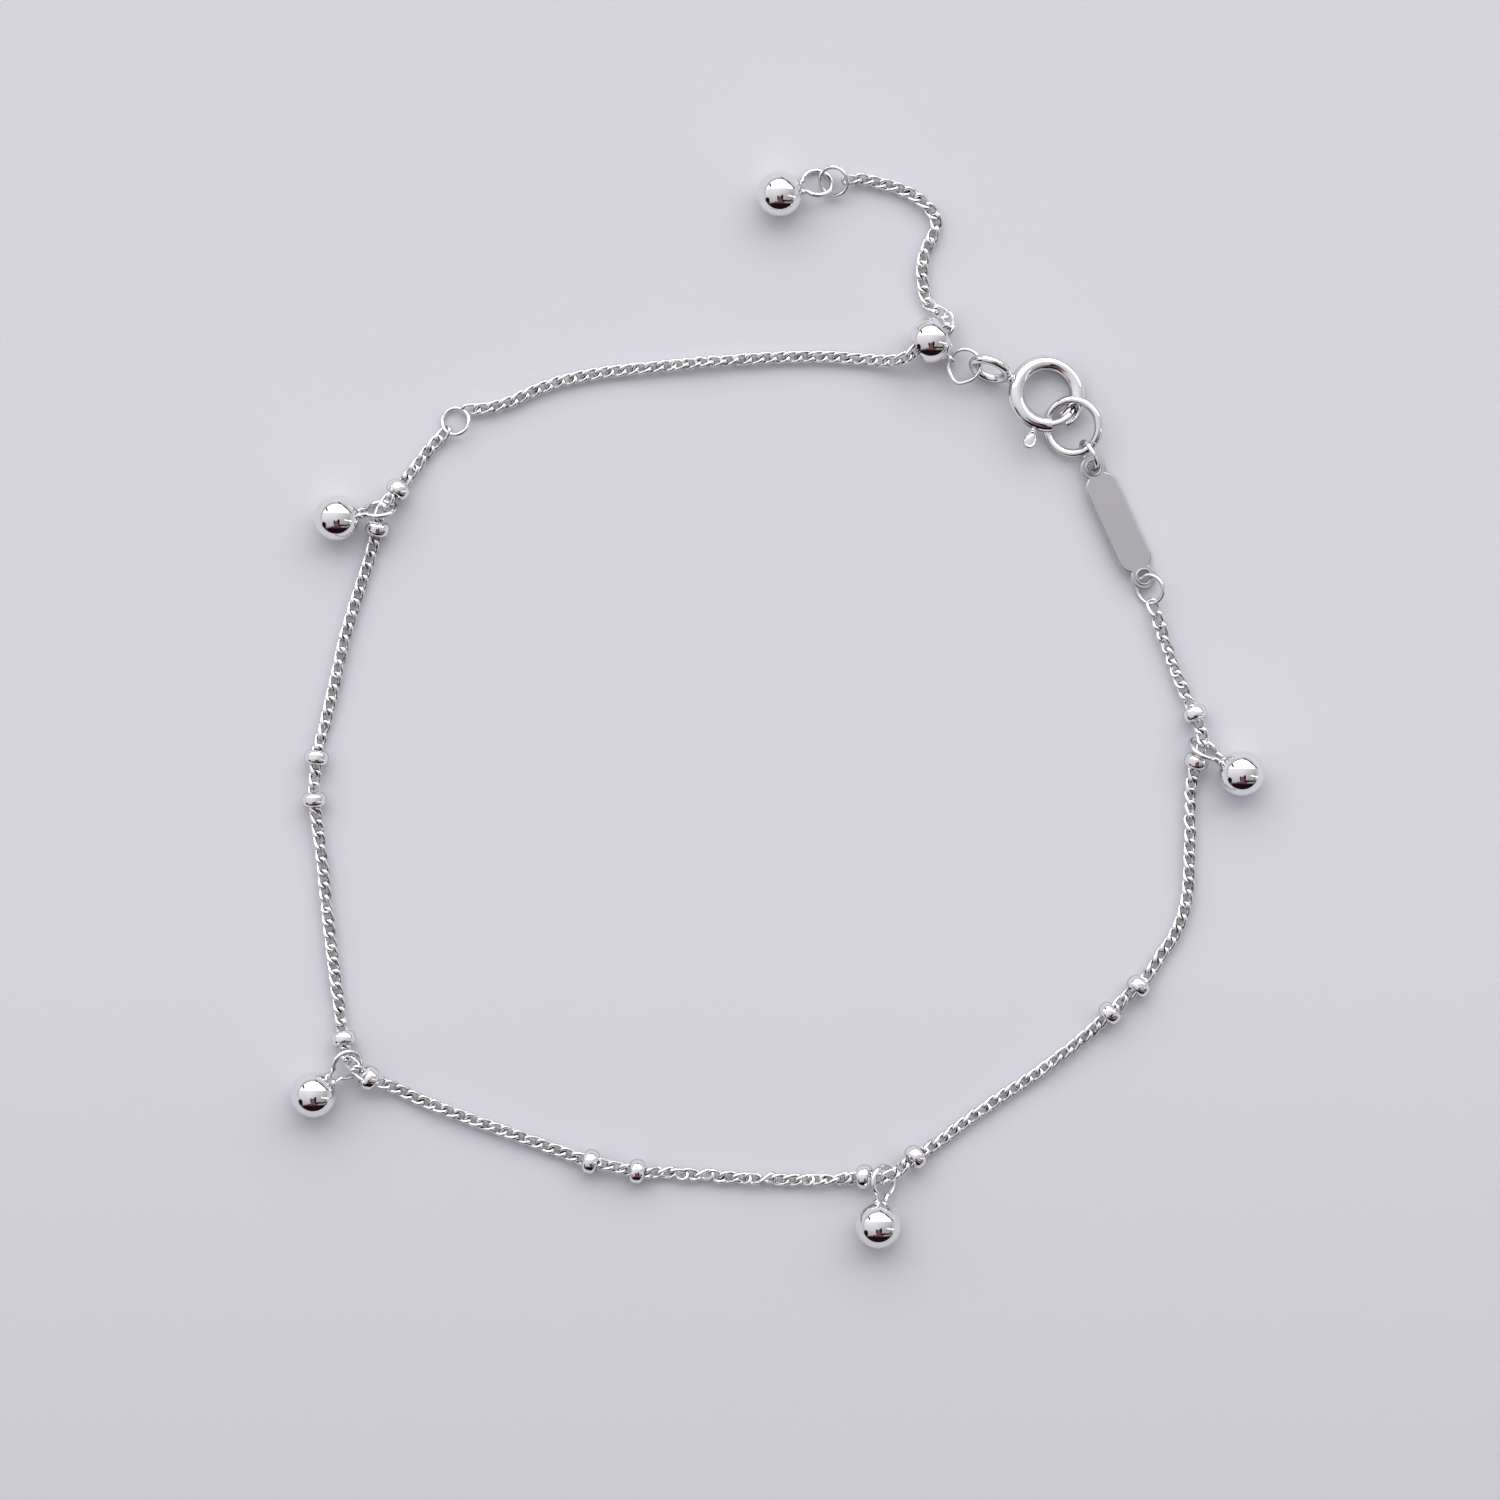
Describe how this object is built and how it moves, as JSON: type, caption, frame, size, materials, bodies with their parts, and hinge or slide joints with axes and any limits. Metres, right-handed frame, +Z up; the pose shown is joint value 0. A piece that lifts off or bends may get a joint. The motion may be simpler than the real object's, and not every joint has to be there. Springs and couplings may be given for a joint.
{
  "type": "dangle bracelet",
  "caption": "Fine silver curb chain bracelet with bead pairs, hanging ball charms, a tag plate, a spring ring clasp and a ball slider on a loose tail.",
  "frame": {"origin": "middle of the lying bracelet's box, on the surface it lies on", "axes": "+Z up from that surface, +Y towards the loose tail, +X towards the tag plate"},
  "size_m": [0.0638, 0.0711, 0.003],
  "materials": {
    "chain_silver": "bright silver links, slightly darker in the gaps",
    "polished_silver": "mirror polish",
    "wire_silver": "polished drawn wire",
    "clasp_silver": "polished tube, lightly worn",
    "satin_silver": "satin"
  },
  "bodies": {
    "bracelet": {"chain_1": "chain_silver", "chain_2": "chain_silver", "chain_3": "chain_silver", "chain_4": "chain_silver", "chain_5": "chain_silver", "chain_6": "chain_silver", "chain_7": "chain_silver", "chain_8": "chain_silver", "beads_1": "polished_silver", "beads_2": "polished_silver", "beads_3": "polished_silver", "beads_4": "polished_silver", "beads_5": "polished_silver", "beads_6": "polished_silver", "beads_7": "polished_silver", "charm_1": "polished_silver", "charm_2": "polished_silver", "charm_3": "polished_silver", "charm_4": "polished_silver", "tail_charm": "polished_silver", "tail_ring": "wire_silver", "extender_ring": "wire_silver", "slider_ring": "wire_silver", "tag_ring_low": "wire_silver", "tag_ring_high": "wire_silver", "end_ring": "wire_silver", "tag": "satin_silver", "slider": "polished_silver", "slide_chain": "chain_silver", "slider_chain": "chain_silver", "tail_chain_1": "chain_silver", "tail_chain_2": "chain_silver", "clasp_body": "clasp_silver"},
    "tongue": {"clasp_tongue": "clasp_silver"}
  },
  "joints": [
    {"name": "clasp_tongue", "type": "hinge", "parent": "bracelet", "child": "tongue", "pos_m": [0.0177, 0.02051, 0.00097], "axis": [-0.1611, -0.1259, -0.9789], "range_deg": [0, 52], "stiffness_Nm_per_rad": 0.0036}
  ]
}
